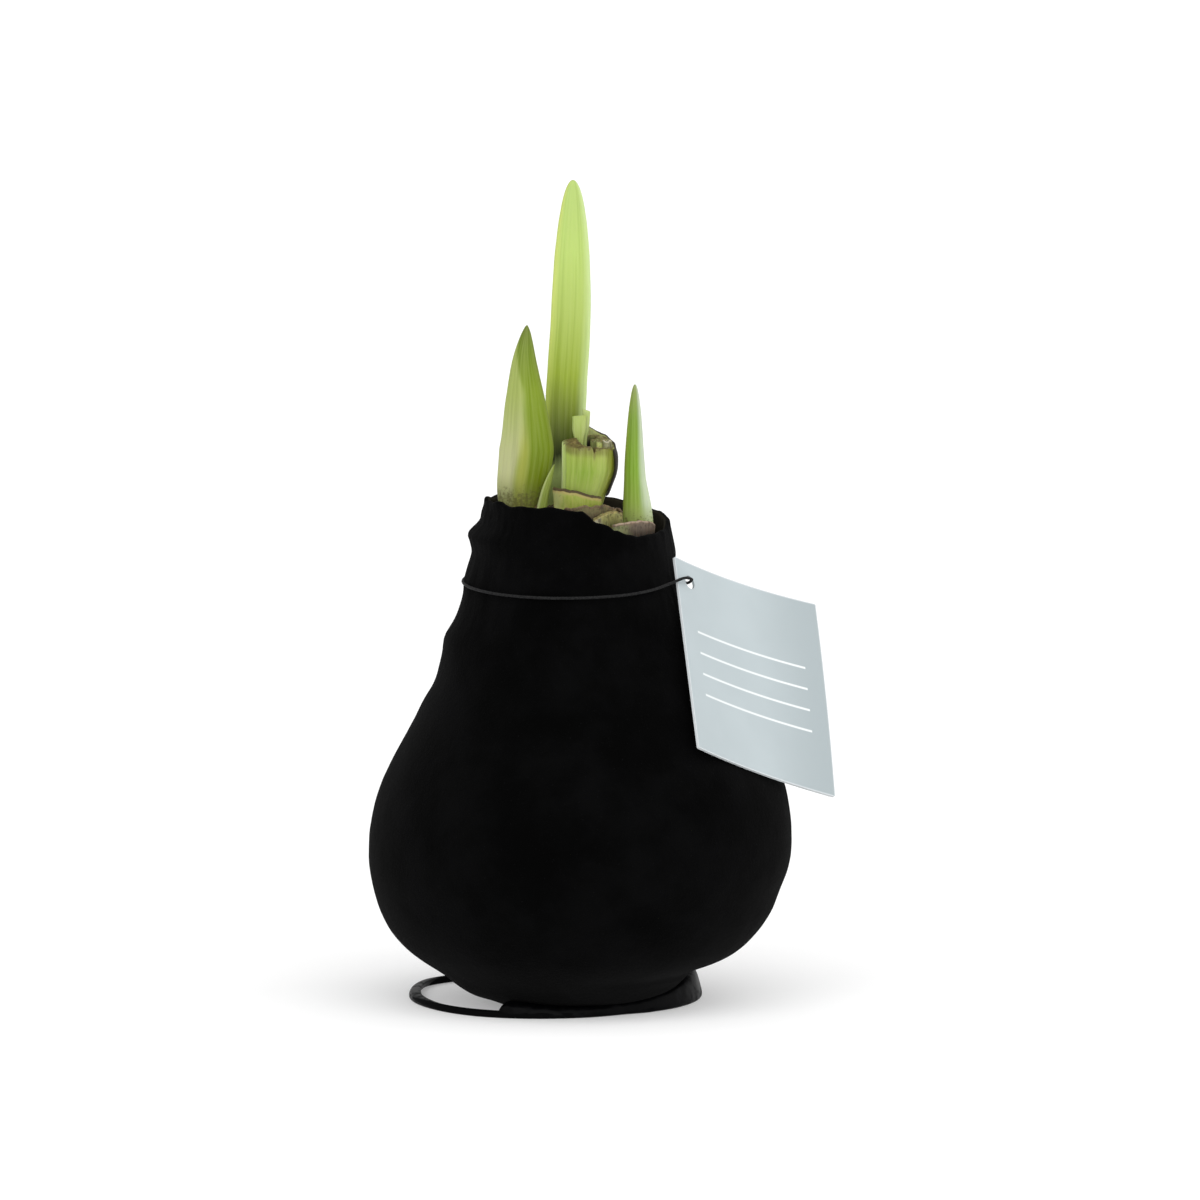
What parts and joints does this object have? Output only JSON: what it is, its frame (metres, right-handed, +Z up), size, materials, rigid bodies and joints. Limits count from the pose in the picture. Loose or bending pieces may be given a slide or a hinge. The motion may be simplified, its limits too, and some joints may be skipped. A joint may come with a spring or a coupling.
{
  "type": "amaryllis bulb in a flocked wax coat on a wire stand",
  "caption": "Amaryllis bulb dipped in black velvet-like wax on a wire ring, with young leaves, a cut leaf stub and a plain card tag on a cord round its neck.",
  "frame": {"origin": "centre of the small flat underside that the bulb rests on, at floor level", "axes": "+Z up along the bulb and its leaves, +X to the right towards the tag, -Y towards the viewer"},
  "size_m": [0.1049, 0.0946, 0.1854],
  "materials": {
    "flocked_wax": "matte",
    "black_wire": "satin",
    "bulb_skin": "matte",
    "leaf_light": "satin",
    "leaf_deep": "satin",
    "leaf_pale": "satin",
    "stub_green": "satin",
    "dried_skin": "matte",
    "scale_tan": "matte",
    "scale_green_pale": "satin",
    "tag_card": "satin",
    "black_cord": "matte"
  },
  "bodies": {
    "root": {"velvet_coat": "flocked_wax", "wire_stand": "black_wire", "bulb": "bulb_skin", "leaf_tall": "leaf_light", "leaf_left": "leaf_deep", "leaf_right": "leaf_deep", "leaf_sliver": "leaf_pale", "leaf_stub": "stub_green", "stub_sprout": "leaf_pale", "stub_skin": "dried_skin", "cut_leaf_base": "stub_green", "scale_green": "scale_green_pale", "scale_front": "scale_tan", "scale_right": "scale_tan", "scale_left": "scale_tan", "scale_low": "scale_tan", "scale_back": "scale_tan", "hang_tag": "tag_card", "tag_cord": "black_cord", "cord_knot": "black_cord"}
  },
  "joints": []
}
